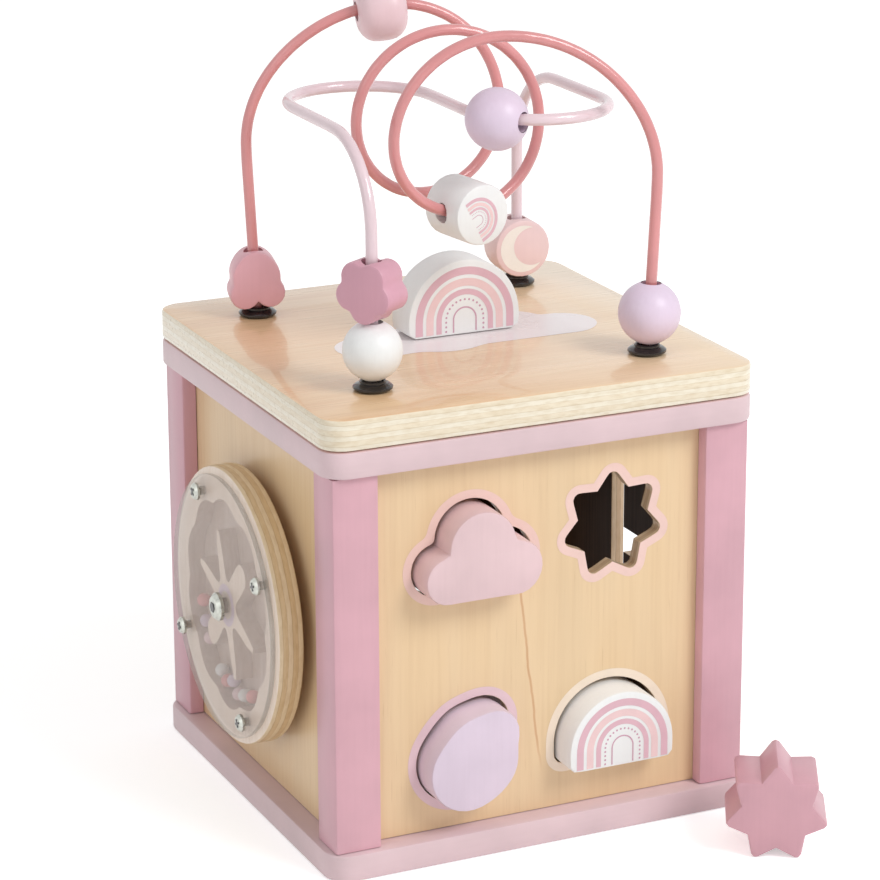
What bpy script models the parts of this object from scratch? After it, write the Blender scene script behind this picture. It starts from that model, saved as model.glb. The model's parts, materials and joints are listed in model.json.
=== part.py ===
"""Wooden activity cube with a bead maze on top, a shape sorter, a rattle wheel and a slot maze.

Metres, +Z up. The origin is the centre of the base plate's underside. The sorter looks along -Y,
the rattle wheel along -X, the slot maze along +X, and the panel with the hand opening along +Y.
"""

from math import atan2, cos, degrees, hypot, pi, radians, sin, sqrt, tan

import bmesh
import bpy
from mathutils import Matrix, Vector

# Clearances
GAP = 0.0003            # between pieces that touch
HOLE_PLAY = 0.0010      # round a block in its hole

# Box
SIDE = 0.160            # base plate, top frame and top plate
CORNER_R = 0.0085
BASE_T = 0.0096
POST_LENGTH = 0.1323
POST_W = 0.0165
POST_SETBACK = 0.0025   # from the plates' edge to the posts' outer face
POST_EDGE = 0.0010
FRAME_T = 0.0096
FRAME_RAIL = 0.0220
TOP_T = 0.0108
PLATE_EDGE = 0.0010
PANEL_T = 0.0050
PANEL_SETBACK = 0.0055  # from the posts' outer face to the panels' outer face
GROOVE_DEPTH = 0.0040

# Wires and their feet
WIRE_D = 0.0040
WIRE_STEP = 0.0060      # between two points along a wire
FOOT = 0.0515           # each foot lies this far from both centre planes
FOOT_DEPTH = 0.0080     # of a wire's end in the top plate
CAP_D = 0.0136
CAP_COLLAR_D = 0.0090
CAP_H = 0.0034
ARCH_SPREAD = 0.0548    # from the centre plane to the outermost point of each arch
ARCH_LEG = 0.0625       # height of the straight legs under the arches
ARCH_CROWN_X = 0.0038   # from the centre plane to each arch's crown
ARCH_RISE = 0.0338      # of the arches above the loops' middle
LOOP_ACROSS_R = 0.0313
LOOP_UP_R = 0.0303
LOOP_HEIGHT = 0.0780    # of the loops' middle above the top plate
PITCH_EASE = 0.05       # share of the thick wire's length in which it takes up its slant
LOOP_PITCH = 0.80       # slant in the middle of the loops, as a share of an even slant
WAVE_HEIGHT = 0.0827    # of the level S above the top plate
WAVE_BEND = 0.0300      # radius of the bends from the legs into the S
WAVE_RUN = 0.0150       # from the middle to the end of the S's straight runs

# Beads
BALL_D = 0.0220
WHITE_BALL_D = 0.0205
BORE_D = 0.0072
BEAD_T = 0.0120
HEART_H = 0.0208
HEART_TIP_R = 0.0066
HEART_LOBE_R = 0.0054
HEART_LOBE_X = 0.0045
HEART_BELLY_R = 0.0086
HEART_BELLY_RISE = 0.0010  # from the heart's middle to its belly's
FLOWER_R = 0.0110
FLOWER_LOBES = 5
MOON_D = 0.0215
MOON_T = 0.0130
DRUM_D = 0.0215
DRUM_L = 0.0200
BARREL_D = 0.0230
BARREL_L = 0.0170
BARREL_AT_X = -0.0092
LILAC_TURN = radians(33)  # from the start of the second turn of the S to the lilac ball
HEART_FACING = radians(-14)
FLOWER_FACING = radians(-58)
MOON_FACING = radians(-4)

# Shape sorter
BLOCK_T = 0.0250
BLOCK_PROUD = 0.0110    # of the panel's outer face
BLOCK_EDGE = 0.0010
CLOUD_AT = (-0.0255, 0.0278)    # these four from the panel's middle
PEBBLE_AT = (-0.0290, -0.0373)
RAINBOW_AT = (0.0272, -0.0497)
STAR_AT = (0.0282, 0.0342)
CLOUD_W = 0.0428
PEBBLE_W = 0.0330
RAINBOW_W = 0.0400
RAINBOW_H = 0.0270
ARCH_FOOT_R = 0.0030
STAR_TIPS = 7
STAR_R = 0.0177
STAR_VALLEY = 0.70
STAR_TIP_R = 0.0016
STAR_STANDS_AT = (0.0710, -0.1133)
STAR_TURN = radians(-28)

# Rainbow block on the top plate
TOP_RAINBOW_W = 0.0430
TOP_RAINBOW_T = 0.0150
TOP_RAINBOW_AT = (0.0044, 0.0035)

# Rattle wheel
WHEEL_AT_Z = 0.0744
WHEEL_R = 0.0490
WHEEL_T = 0.0092
WHEEL_OFF = 0.0043      # from the panel to the wheel
WHEEL_EDGE = 0.0010
POCKET_R = 0.0372
POCKET_DEPTH = 0.0062
POCKET_LOBES = 10
POCKET_LOBE_H = 0.0026
HUB_R = 0.0080
ARM_L = 0.0265
ARM_R = 0.0019
FAT_ARM_L = 0.0250
FAT_ARM_R = 0.0048
FAT_ARM_AT = radians(46)
ARM_AT = radians(60)        # both from the fat arm
SECOND_ARM_AT = radians(114)
COVER_R = 0.0465
COVER_T = 0.0020
COVER_SCREWS = 4
COVER_SCREW_R = 0.0412
COVER_SCREW_AT = radians(28)
RATTLE_D = 0.0050
RATTLE_BEADS = ((196, 0.0325), (209, 0.0332), (220, 0.0332), (244, 0.0332), (254, 0.0332),
                (264, 0.0300), (273, 0.0332), (283, 0.0325), (297, 0.0330))
AXLE_D = 0.0050
AXLE_HEAD_D = 0.0100
AXLE_HEAD_H = 0.0028
AXLE_NUT_W = 0.0080
AXLE_NUT_T = 0.0040
WASHER_D = 0.0150
SCREW_D = 0.0024
SCREW_HEAD_D = 0.0062
SCREW_HEAD_H = 0.0020
COVER_SCREW_L = 0.0070

# Slot maze
SLOT_W = 0.0096
TRUNK_Y = -0.0018
TRUNK_LOW = 0.0390
TRUNK_HIGH = 0.1160
BRANCH_L = 0.0400
MIDDLE_BRANCH_Z = 0.0778
KNOB_D = 0.0250
KNOB_H = 0.0090
SHANK_D = 0.0080
BACK_DISC_D = 0.0200
BACK_DISC_T = 0.0040
SLIDER_SCREW_L = 0.0120

# Hand opening in the back panel
HAND_W = 0.0860
HAND_H = 0.0620
HAND_R = 0.0200
HAND_AT_Z = 0.0500

# Facets round a full circle
ROUND = 48
BEAD_ROUND = 20
SMALL_ROUND = 12

# Levels that follow from the sizes above
FRAME_Z = BASE_T + POST_LENGTH
PLATE_Z = FRAME_Z + FRAME_T
TOP_Z = PLATE_Z + TOP_T
POST_FACE = SIDE / 2 - POST_SETBACK
PANEL_FACE = POST_FACE - PANEL_SETBACK
POST_CENTRE = POST_FACE - POST_W / 2
PANEL_W = 2 * (POST_FACE - POST_W + GROOVE_DEPTH - GAP)
PANEL_H = POST_LENGTH - 2 * GAP
PANEL_MIDDLE_Z = BASE_T + POST_LENGTH / 2
BEAD_SEAT_Z = TOP_Z + GAP + CAP_H + GAP
WHEEL_FRONT = WHEEL_OFF + WHEEL_T
COVER_FRONT = WHEEL_FRONT + GAP + COVER_T


def colour(red, green, blue):
    """Linear colour from the 0 to 255 values of a screen."""
    def linear(value):
        share = value / 255
        return share / 12.92 if share <= 0.04045 else ((share + 0.055) / 1.055) ** 2.4
    return (linear(red), linear(green), linear(blue), 1)


def material(name, rgb, roughness=0.5, metallic=0.0, alpha=1.0):
    made = bpy.data.materials.new(name)
    made.use_nodes = True
    shader = made.node_tree.nodes["Principled BSDF"]
    shader.inputs["Base Color"].default_value = colour(*rgb)
    shader.inputs["Roughness"].default_value = roughness
    shader.inputs["Metallic"].default_value = metallic
    shader.inputs["Alpha"].default_value = alpha
    made.diffuse_color = colour(*rgb)
    return made


# Distances to outlines in a plane: negative inside, with the outline at zero

def to_circle(point, centre, radius):
    return (point - Vector(centre)).length - radius


def to_segment(point, start, end):
    start, end = Vector(start), Vector(end)
    along = end - start
    share = max(0, min(1, (point - start).dot(along) / along.length_squared))
    return (point - start - along * share).length


def to_cone(point, start, start_r, end, end_r):
    """Distance to the hull of two circles."""
    start, end = Vector(start), Vector(end)
    along = (end - start).normalized()
    length = (end - start).length
    slope = (start_r - end_r) / length
    x = (point - start).dot(along)
    y = abs((point - start).cross(along))
    shifted = x - y * slope / sqrt(1 - slope * slope)
    share = max(0, min(length, shifted))
    return hypot(x - share, y) - (start_r + (end_r - start_r) * share / length)


def blend_shapes(first, second, width):
    """Union of two shapes with a fillet about as wide as width."""
    share = max(0, min(1, 0.5 + 0.5 * (second - first) / width))
    return second + (first - second) * share - width * share * (1 - share)


def cloud(point):
    """Two side lobes and a high middle one on a flat base."""
    half = CLOUD_W / 2
    left = to_circle(point, (-0.58 * half, 0), 0.38 * half)
    top = to_circle(point, (0, 0.47 * half), 0.57 * half)
    right = to_circle(point, (0.59 * half, 0.05 * half), 0.44 * half)
    base = to_segment(point, (-0.58 * half, -0.02 * half), (0.59 * half, -0.02 * half)) - 0.38 * half
    lobes = blend_shapes(blend_shapes(left, top, 0.1 * half), right, 0.1 * half)
    return blend_shapes(lobes, base, 0.05 * half)


def pebble(point):
    """A slanting round stone, wider at its low end."""
    half = PEBBLE_W / 2
    stone = to_cone(point, (-0.09 * half, -0.27 * half), 0.87 * half, (0.48 * half, 0.42 * half), 0.56 * half)
    belly = min(to_circle(point, (0.24 * half, -0.15 * half), 0.77 * half),
                to_circle(point, (0.14 * half, 0.11 * half), 0.79 * half))
    return blend_shapes(stone, belly, 0.18 * half)


def arch(width, height):
    """An arch on the line y = 0: a half circle on straight sides, with rounded feet."""
    radius = width / 2 - ARCH_FOOT_R
    spring = height - width / 2

    def distance(point):
        if point.y > spring:
            return to_circle(point, (0, spring), radius) - ARCH_FOOT_R
        beside = abs(point.x) - radius
        below = ARCH_FOOT_R - point.y
        return hypot(max(beside, 0), max(below, 0)) + min(max(beside, below), 0) - ARCH_FOOT_R

    return distance


def star(point):
    """A star with STAR_TIPS tips, the first one up, each rounded."""
    sector = pi / STAR_TIPS
    angle = abs((atan2(point.x, point.y) + sector) % (2 * sector) - sector)
    length = point.length
    folded = Vector((length * sin(angle), length * cos(angle)))
    tip = Vector((0, STAR_R - STAR_TIP_R))
    valley_r = STAR_R * STAR_VALLEY - STAR_TIP_R
    valley = Vector((valley_r * sin(sector), valley_r * cos(sector)))
    edge = valley - tip
    share = max(0, min(1, (folded - tip).dot(edge) / edge.length_squared))
    away = folded - tip - edge * share
    side = edge.x * (folded.y - tip.y) - edge.y * (folded.x - tip.x)
    return (away.length if side > 0 else -away.length) - STAR_TIP_R


def heart(point):
    """A plump heart with its blunt tip up."""
    tip = to_circle(point, (0, HEART_H / 2 - HEART_TIP_R), HEART_TIP_R)
    belly = to_circle(point, (0, HEART_BELLY_RISE), HEART_BELLY_R)
    folded = Vector((abs(point.x), point.y))
    lobe = to_circle(folded, (HEART_LOBE_X, HEART_LOBE_R - HEART_H / 2), HEART_LOBE_R)
    return blend_shapes(blend_shapes(tip, belly, 0.0012), lobe, 0.0008)


def flower(point):
    """Round petals, one of them down."""
    petal_r = FLOWER_R * 0.47
    shape = to_circle(point, (0, 0), FLOWER_R * 0.6)
    for petal in range(FLOWER_LOBES):
        angle = -pi / 2 + 2 * pi * petal / FLOWER_LOBES
        centre = Vector((cos(angle), sin(angle))) * (FLOWER_R - petal_r)
        shape = blend_shapes(shape, to_circle(point, centre, petal_r), 0.0012)
    return shape


def wheel_figure(point):
    """A hub with four long thin arms and two short fat ones, opposite each other."""
    shape = to_circle(point, (0, 0), HUB_R)
    for turn in (0, pi):
        for angle, length, root_r, end_r in ((0, FAT_ARM_L, FAT_ARM_R * 0.8, FAT_ARM_R),
                                             (ARM_AT, ARM_L, ARM_R * 1.8, ARM_R),
                                             (SECOND_ARM_AT, ARM_L, ARM_R * 1.8, ARM_R)):
            heading = FAT_ARM_AT + turn + angle
            end = Vector((cos(heading), sin(heading))) * (length - end_r)
            shape = blend_shapes(shape, to_cone(point, (0, 0), root_r, end, end_r), 0.003)
    return shape


def pocket(point):
    """A circle with a scalloped edge."""
    angle = atan2(point.y, point.x)
    scallop = abs(sin(angle * POCKET_LOBES / 2))
    return point.length - (POCKET_R - POCKET_LOBE_H * 0.6 + POCKET_LOBE_H * scallop)


# Outlines as lists of points, counter-clockwise

def trace(distance, grow=0.0, count=48, inside=(0, 0), turned=0.0):
    """The points round inside where distance equals grow, without those on straight stretches."""
    inside = Vector(inside)
    points = []
    for index in range(count):
        angle = turned + 2 * pi * index / count
        out = Vector((cos(angle), sin(angle)))
        near, far = 0.0, 0.06
        for _ in range(40):
            middle = (near + far) / 2
            if distance(inside + out * middle) < grow:
                near = middle
            else:
                far = middle
        points.append(inside + out * near)
    kept = []
    for index, point in enumerate(points):
        before = point - points[index - 1]
        after = points[(index + 1) % count] - point
        if abs(degrees(before.angle(after))) > 1.0:
            kept.append(point)
    return kept


def ring(radius, count=ROUND, centre=(0, 0)):
    return [Vector(centre) + Vector((cos(a), sin(a))) * radius
            for a in (2 * pi * k / count for k in range(count))]


def rounded_rectangle(width, height, radius, steps=5, centre=(0, 0)):
    points = []
    for corner, (side, up) in enumerate(((1, 1), (-1, 1), (-1, -1), (1, -1))):
        middle = Vector((side * (width / 2 - radius), up * (height / 2 - radius))) + Vector(centre)
        for step in range(steps + 1):
            angle = (corner + step / steps) * pi / 2
            points.append(middle + Vector((cos(angle), sin(angle))) * radius)
    return points


def slot(start, end, width, steps=6):
    """A slot with round ends between two points."""
    start, end = Vector(start), Vector(end)
    heading = atan2(end.y - start.y, end.x - start.x)
    points = []
    for centre, first in ((end, -pi / 2), (start, pi / 2)):
        for step in range(steps + 1):
            angle = heading + first + pi * step / steps
            points.append(centre + Vector((cos(angle), sin(angle))) * width / 2)
    return points


# Solids

def to_object(name, body, look, parent=None, at=(0, 0, 0), turn=(0, 0, 0), sharp=35):
    bmesh.ops.recalc_face_normals(body, faces=body.faces)
    mesh = bpy.data.meshes.new(name)
    body.to_mesh(mesh)
    body.free()
    mesh.shade_smooth()
    mesh.set_sharp_from_angle(angle=radians(sharp))
    made = bpy.data.objects.new(name, mesh)
    bpy.context.scene.collection.objects.link(made)
    made.parent = parent
    made.location = at
    made.rotation_euler = turn
    if look:
        made.data.materials.append(look)
    return made


def sheet_body(outline, low, high, edge=0.0, hole=()):
    """The outline less the hole, extruded from low to high, with both rims rounded by edge."""
    body = bmesh.new()
    flat = []
    for points in filter(None, (outline, hole)):
        verts = [body.verts.new((p.x, p.y, low)) for p in points]
        flat += [body.edges.new(pair) for pair in zip(verts, verts[1:] + verts[:1])]
    if hole:
        bmesh.ops.triangle_fill(body, use_beauty=True, edges=flat)
    else:
        body.faces.new(body.verts)
    grown = bmesh.ops.extrude_face_region(body, geom=list(body.faces))
    top = [item for item in grown["geom"] if isinstance(item, bmesh.types.BMVert)]
    bmesh.ops.translate(body, verts=top, vec=(0, 0, high - low))
    if edge:
        rims = [e for e in body.edges if abs(e.verts[0].co.z - e.verts[1].co.z) < 1e-6]
        bmesh.ops.bevel(body, geom=rims, offset=edge, segments=2, profile=0.5, affect="EDGES")
    return body


def turned_body(profile, steps=ROUND):
    """The closed profile of (radius, height) points turned about Z. A radius of 0 lies on the axis."""
    body = bmesh.new()
    rows = []
    for radius, height in profile:
        if radius == 0:
            rows.append([body.verts.new((0, 0, height))])
            continue
        rows.append([body.verts.new((radius * cos(a), radius * sin(a), height))
                     for a in (2 * pi * k / steps for k in range(steps))])
    for low, high in zip(rows, rows[1:] + rows[:1]):
        if len(low) == 1 and len(high) == 1:
            continue
        for k in range(steps):
            after = (k + 1) % steps
            corners = [low[k % len(low)], low[after % len(low)], high[after % len(high)], high[k % len(high)]]
            body.faces.new(list(dict.fromkeys(corners)))
    return body


def cutter(name, body, parent=None, at=(0, 0, 0), turn=(0, 0, 0)):
    made = to_object(name, body, None, parent, at, turn)
    made.hide_render = True
    made.display_type = "WIRE"
    return made


def cut(solid, tool):
    made = solid.modifiers.new("cut_" + tool.name, "BOOLEAN")
    made.operation = "DIFFERENCE"
    made.object = tool


def empty(name, at=(0, 0, 0), turn=(0, 0, 0), parent=None):
    made = bpy.data.objects.new(name, None)
    bpy.context.scene.collection.objects.link(made)
    made.location = at
    made.rotation_euler = turn
    made.parent = parent
    return made


def faces():
    """One empty for each side, at its panel's outer face: x runs across, y up and z out."""
    return {
        "front": empty("front_face", (0, -PANEL_FACE, 0), (pi / 2, 0, 0)),
        "left": empty("left_face", (-PANEL_FACE, 0, 0), (pi / 2, 0, -pi / 2)),
        "right": empty("right_face", (PANEL_FACE, 0, 0), (pi / 2, 0, pi / 2)),
        "back": empty("back_face", (0, PANEL_FACE, 0), (pi / 2, 0, pi)),
    }


# Box

def build_box(looks):
    plate = rounded_rectangle(SIDE, SIDE, CORNER_R, 6)
    to_object("base_plate", sheet_body(plate, 0, BASE_T, PLATE_EDGE), looks["pale_pink"])
    for number, (x, y) in enumerate(((-1, -1), (1, -1), (1, 1), (-1, 1)), 1):
        build_post("corner_post_%d" % number, x, y, looks["rose"])
    rail = sheet_body(plate, FRAME_Z, PLATE_Z - GAP, PLATE_EDGE)
    frame = to_object("top_frame", rail, looks["pale_pink"])
    inner = SIDE - 2 * FRAME_RAIL
    opening = rounded_rectangle(inner, inner, CORNER_R / 2, 3)
    cut(frame, cutter("frame_opening", sheet_body(opening, FRAME_Z - FRAME_T, TOP_Z)))
    top = to_object("top_plate", sheet_body(plate, PLATE_Z, TOP_Z, PLATE_EDGE), looks["plywood"])
    for number, (x, y) in enumerate(((-1, -1), (1, -1), (1, 1), (-1, 1)), 1):
        hole = ring(WIRE_D / 2 + GAP, SMALL_ROUND, (x * FOOT, y * FOOT))
        cut(top, cutter("foot_hole_%d" % number, sheet_body(hole, TOP_Z - FOOT_DEPTH - GAP, TOP_Z + CAP_H)))


def build_post(name, x, y, look):
    """A square post with a groove for each of its two panels."""
    outline = rounded_rectangle(POST_W, POST_W, POST_EDGE, 2)
    post = to_object(name, sheet_body(outline, BASE_T + GAP, FRAME_Z - GAP), look,
                     at=(x * POST_CENTRE, y * POST_CENTRE, 0))
    inward = POST_W / 2
    middle = POST_W / 2 - PANEL_SETBACK - PANEL_T / 2
    long, wide = 2 * GROOVE_DEPTH, PANEL_T + 2 * GAP
    for side, (centre, size) in enumerate((((-x * inward, y * middle), (long, wide)),
                                           ((x * middle, -y * inward), (wide, long)))):
        groove = rounded_rectangle(size[0], size[1], 0.0002, 1, centre)
        cut(post, cutter("%s_groove_%d" % (name, side), sheet_body(groove, 0, PLATE_Z), post))


def build_panel(name, face, look):
    outline = rounded_rectangle(PANEL_W, PANEL_H, 0.0005, 1, (0, PANEL_MIDDLE_Z))
    return to_object(name, sheet_body(outline, -PANEL_T, 0), look, face)


# Bead maze

def quarter(centre, across, up, first, last, steps=24):
    """Part of an ellipse as pairs, from the first to the last angle in degrees."""
    points = []
    for step in range(steps + 1):
        angle = radians(first + (last - first) * step / steps)
        points.append((centre[0] + across * cos(angle), centre[1] + up * sin(angle)))
    return points


def arch_front_view():
    """The thick wire between its two legs as (x, z) points: an arch, one and a half loops, an arch."""
    middle = TOP_Z + LOOP_HEIGHT
    spring = TOP_Z + ARCH_LEG
    outer = ARCH_SPREAD - ARCH_CROWN_X
    inner = LOOP_ACROSS_R + ARCH_CROWN_X
    height = middle + ARCH_RISE - spring
    points = quarter((-ARCH_CROWN_X, spring), outer, height, 180, 90)
    points += quarter((-ARCH_CROWN_X, middle), inner, ARCH_RISE, 90, 0)[1:]
    for start in (0, -90, -180, -270, -360, -450):
        points += quarter((0, middle), LOOP_ACROSS_R, LOOP_UP_R, start, start - 90)[1:]
    points += quarter((ARCH_CROWN_X, middle), inner, ARCH_RISE, 180, 90)[1:]
    points += quarter((ARCH_CROWN_X, spring), outer, height, 90, 0)[1:]
    return points


def eased(share):
    """From 0 to 1 at an even rate, taken up and lost over PITCH_EASE at the ends."""
    rate = 1 / (1 - PITCH_EASE)
    if share < PITCH_EASE:
        return rate * share * share / (2 * PITCH_EASE)
    if share > 1 - PITCH_EASE:
        return 1 - rate * (1 - share) ** 2 / (2 * PITCH_EASE)
    return rate * (share - PITCH_EASE / 2)


def arch_route():
    """Middle line of the thick wire, from its left foot to its right foot."""
    view = arch_front_view()
    lengths = [0]
    for (x0, z0), (x1, z1) in zip(view, view[1:]):
        lengths.append(lengths[-1] + hypot(x1 - x0, z1 - z0))
    bent = []
    for (x, z), length in zip(view, lengths):
        across = 1 - 2 * eased(length / lengths[-1])
        bent.append(Vector((x, FOOT * (LOOP_PITCH * across + (1 - LOOP_PITCH) * across ** 3), z)))
    foot = [Vector((-FOOT, FOOT, TOP_Z - FOOT_DEPTH)), Vector((-FOOT, FOOT, TOP_Z))]
    return foot + bent + opposite(foot)


def opposite(points):
    """The points turned half round the Z axis, in the other order."""
    return [Vector((-p.x, -p.y, p.z)) for p in reversed(points)]


def wave_route():
    """Middle line of the thin wire, from its front foot to its back foot."""
    level = TOP_Z + WAVE_HEIGHT
    turn_r = FOOT / 2
    half = [Vector((-FOOT, -FOOT, TOP_Z - FOOT_DEPTH)), Vector((-FOOT, -FOOT, TOP_Z))]
    for across, up in quarter((WAVE_BEND - FOOT, level - WAVE_BEND), WAVE_BEND, WAVE_BEND, 180, 90):
        half.append(Vector((-FOOT, across, up)))
    for across, along in quarter((-turn_r, WAVE_RUN), turn_r, turn_r, 180, 0, 48):
        half.append(Vector((across, along, level)))
    return half + opposite(half)


def evenly(route, step):
    """Points at about even steps along a route, its two ends included."""
    lengths = [0]
    for before, after in zip(route, route[1:]):
        lengths.append(lengths[-1] + (after - before).length)
    count = round(lengths[-1] / step)
    points = []
    at = 0
    for index in range(count + 1):
        wanted = lengths[-1] * index / count
        while at < len(route) - 2 and lengths[at + 1] < wanted:
            at += 1
        share = (wanted - lengths[at]) / (lengths[at + 1] - lengths[at])
        points.append(route[at].lerp(route[at + 1], share))
    return points


def build_wire(name, route, look):
    points = route[:1] + evenly(route[1:-1], WIRE_STEP) + route[-1:]
    curve = bpy.data.curves.new(name, "CURVE")
    curve.dimensions = "3D"
    curve.bevel_depth = WIRE_D / 2
    curve.bevel_resolution = 2
    curve.use_fill_caps = True
    spline = curve.splines.new("POLY")
    spline.points.add(len(points) - 1)
    for target, point in zip(spline.points, points):
        target.co = (*point, 1)
    made = bpy.data.objects.new(name, curve)
    bpy.context.scene.collection.objects.link(made)
    made.data.materials.append(look)
    return made


def build_cap(name, x, y, look):
    hole = WIRE_D / 2 + GAP
    collar = CAP_COLLAR_D / 2
    flange = CAP_D / 2
    profile = ((hole, 0), (flange - 0.0006, 0), (flange, 0.0006), (flange, 0.0012), (flange - 0.0010, 0.0020),
               (collar, 0.0024), (collar, CAP_H - 0.0004), (collar - 0.0005, CAP_H), (hole, CAP_H))
    to_object(name, turned_body(profile, 18), look, at=(x * FOOT, y * FOOT, TOP_Z + GAP))


def ball_body(diameter, steps=BEAD_ROUND, rows=9):
    """A ball with a bore along Z."""
    radius = diameter / 2
    bore = BORE_D / 2
    reach = pi / 2 - atan2(bore, sqrt(radius ** 2 - bore ** 2))
    profile = []
    for row in range(rows + 1):
        angle = -reach + 2 * reach * row / rows
        profile.append((radius * cos(angle), radius * sin(angle)))
    profile[0] = (bore, profile[0][1])
    profile[-1] = (bore, profile[-1][1])
    return turned_body(profile, steps)


def barrel_body():
    """A bulging bead with flat ends and a bore along Z."""
    bore = BORE_D / 2
    half = BARREL_L / 2
    profile = [(bore, -half)]
    for row in range(7):
        height = -1 + row / 3
        profile.append((BARREL_D / 2 * (1 - height ** 4 * 0.36), half * height))
    profile.append((bore, half))
    return turned_body(profile, BEAD_ROUND)


def bored(bead, length, turn=(0, 0, 0)):
    """Drills a bead along its local Y, or along the direction that turn gives it."""
    hole = sheet_body(ring(BORE_D / 2, SMALL_ROUND), -length, length)
    cut(bead, cutter(bead.name + "_bore", hole, bead, turn=turn))


def build_beads(looks):
    """Each bead sits on its wire, with its origin on the wire's middle line or on the axis it turns about."""
    lean = atan2(ARCH_SPREAD - FOOT, ARCH_LEG)
    leaning = FOOT + (BEAD_SEAT_Z - TOP_Z) * tan(lean)
    ball_rise = sqrt((BALL_D / 2) ** 2 - (BORE_D / 2) ** 2)
    white_rise = sqrt((WHITE_BALL_D / 2) ** 2 - (BORE_D / 2) ** 2)
    legs = {
        "left": empty("left_leg", (-leaning, FOOT, BEAD_SEAT_Z), (0, -lean, 0)),
        "front": empty("front_leg", (-FOOT, -FOOT, BEAD_SEAT_Z)),
        "right": empty("right_leg", (leaning, -FOOT, BEAD_SEAT_Z), (0, lean, 0)),
        "back": empty("back_leg", (FOOT, FOOT, BEAD_SEAT_Z)),
    }
    upright = pi / 2

    shape = trace(heart, count=40)
    heart_low = -min(p.y for p in shape)
    made = to_object("heart_bead", sheet_body(shape, -BEAD_T / 2, BEAD_T / 2, BLOCK_EDGE), looks["heart"],
                     legs["left"], (0, 0, heart_low), (upright, 0, HEART_FACING))
    bored(made, HEART_H, (upright, 0, 0))

    to_object("white_bead", ball_body(WHITE_BALL_D), looks["white"], legs["front"], (0, 0, white_rise))
    shape = trace(flower, count=60)
    flower_low = -min(p.y for p in shape)
    made = to_object("flower_bead", sheet_body(shape, -BEAD_T / 2, BEAD_T / 2, BLOCK_EDGE), looks["flower"],
                     legs["front"], (0, 0, 2 * white_rise + GAP + flower_low), (upright, 0, FLOWER_FACING))
    bored(made, FLOWER_R * 2, (upright, 0, 0))

    disc = sheet_body(ring(MOON_D / 2, 28), -MOON_T / 2, MOON_T / 2, BLOCK_EDGE)
    made = to_object("moon_bead", disc, looks["moon"], legs["back"], (0, 0, MOON_D / 2),
                     (upright, 0, MOON_FACING))
    bored(made, MOON_D, (upright, 0, 0))

    to_object("lilac_bead", ball_body(BALL_D), looks["lilac"], legs["right"], (0, 0, ball_rise))
    build_wave_bead(looks)
    build_arch_beads(looks)


def play(bend_r, half_length):
    """How far a bead hangs off its wire's middle line, and the bow of the wire inside the bead."""
    clear = (BORE_D - WIRE_D) / 2 - GAP
    return clear, bend_r - sqrt(bend_r ** 2 - half_length ** 2)


def build_wave_bead(looks):
    """The lilac ball hangs in the second turn of the S and moves round the turn's middle."""
    turn_r = FOOT / 2
    clear, bow = play(turn_r, sqrt((BALL_D / 2) ** 2 - (BORE_D / 2) ** 2))
    hang = sqrt(clear ** 2 - (bow / 2) ** 2)
    axis = empty("wave_bead_axis", (turn_r, -WAVE_RUN, TOP_Z + WAVE_HEIGHT), (0, 0, pi + LILAC_TURN))
    at = (turn_r - bow / 2, 0, -hang)
    to_object("wave_bead", ball_body(BALL_D), looks["lilac"], axis, at, (pi / 2, 0, 0))


def build_bend_bead(name, body, look, route, index, half_length, along_z):
    """A bead on a bend of the thick wire, held up by the wire where it touches the bore."""
    before, point, after = route[index - 1:index + 2]
    tangent = (after - before).normalized()
    change = (after - point).normalized() - (point - before).normalized()
    normal = (change - tangent * change.dot(tangent)).normalized()
    bend_r = (after - before).length / 2 / change.length
    clear, bow = play(bend_r, half_length)
    shift = clear if normal.z < 0 else bow - clear
    if along_z:
        turn = Matrix((normal.cross(tangent), normal, tangent))
    else:
        turn = Matrix((tangent, normal, tangent.cross(normal)))
    axis = empty(name + "_axis", point + normal * bend_r)
    return to_object(name, body, look, axis, normal * (shift - bend_r), turn.transposed().to_euler())


def build_arch_beads(looks):
    """The barrel rests on the crown of the arch, the drum hangs in the bottom of the last loop."""
    route = evenly(arch_route(), 0.0015)
    first_arch = range(1, len(route) // 4)
    crown = min(first_arch, key=lambda k: abs(route[k].x - BARREL_AT_X) + (route[k].z < TOP_Z + LOOP_HEIGHT))
    last_loop = range(len(route) // 2, 3 * len(route) // 4)
    low = min(last_loop, key=lambda k: route[k].z)
    build_bend_bead("barrel_bead", barrel_body(), looks["blush"], route, crown, BARREL_L / 2, True)
    drum = sheet_body(ring(DRUM_D / 2, 28), -DRUM_L / 2, DRUM_L / 2, BLOCK_EDGE)
    made = build_bend_bead("rainbow_bead", drum, looks["white"], route, low, DRUM_D / 2, False)
    bored(made, DRUM_D, (0, pi / 2, 0))


def build_maze(looks):
    build_wire("arch_wire", arch_route(), looks["coral_wire"])
    build_wire("wave_wire", wave_route(), looks["pale_wire"])
    for number, (x, y) in enumerate(((-1, -1), (1, -1), (1, 1), (-1, 1)), 1):
        build_cap("foot_cap_%d" % number, x, y, looks["black"])
    build_beads(looks)
    outline = trace(arch(TOP_RAINBOW_W, RAINBOW_H), count=56, inside=(0, RAINBOW_H / 3))
    body = sheet_body(outline, -TOP_RAINBOW_T / 2, TOP_RAINBOW_T / 2, BLOCK_EDGE)
    to_object("top_rainbow", body, looks["white"], at=(*TOP_RAINBOW_AT, TOP_Z + GAP), turn=(pi / 2, 0, 0))


# Shape sorter

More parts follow.
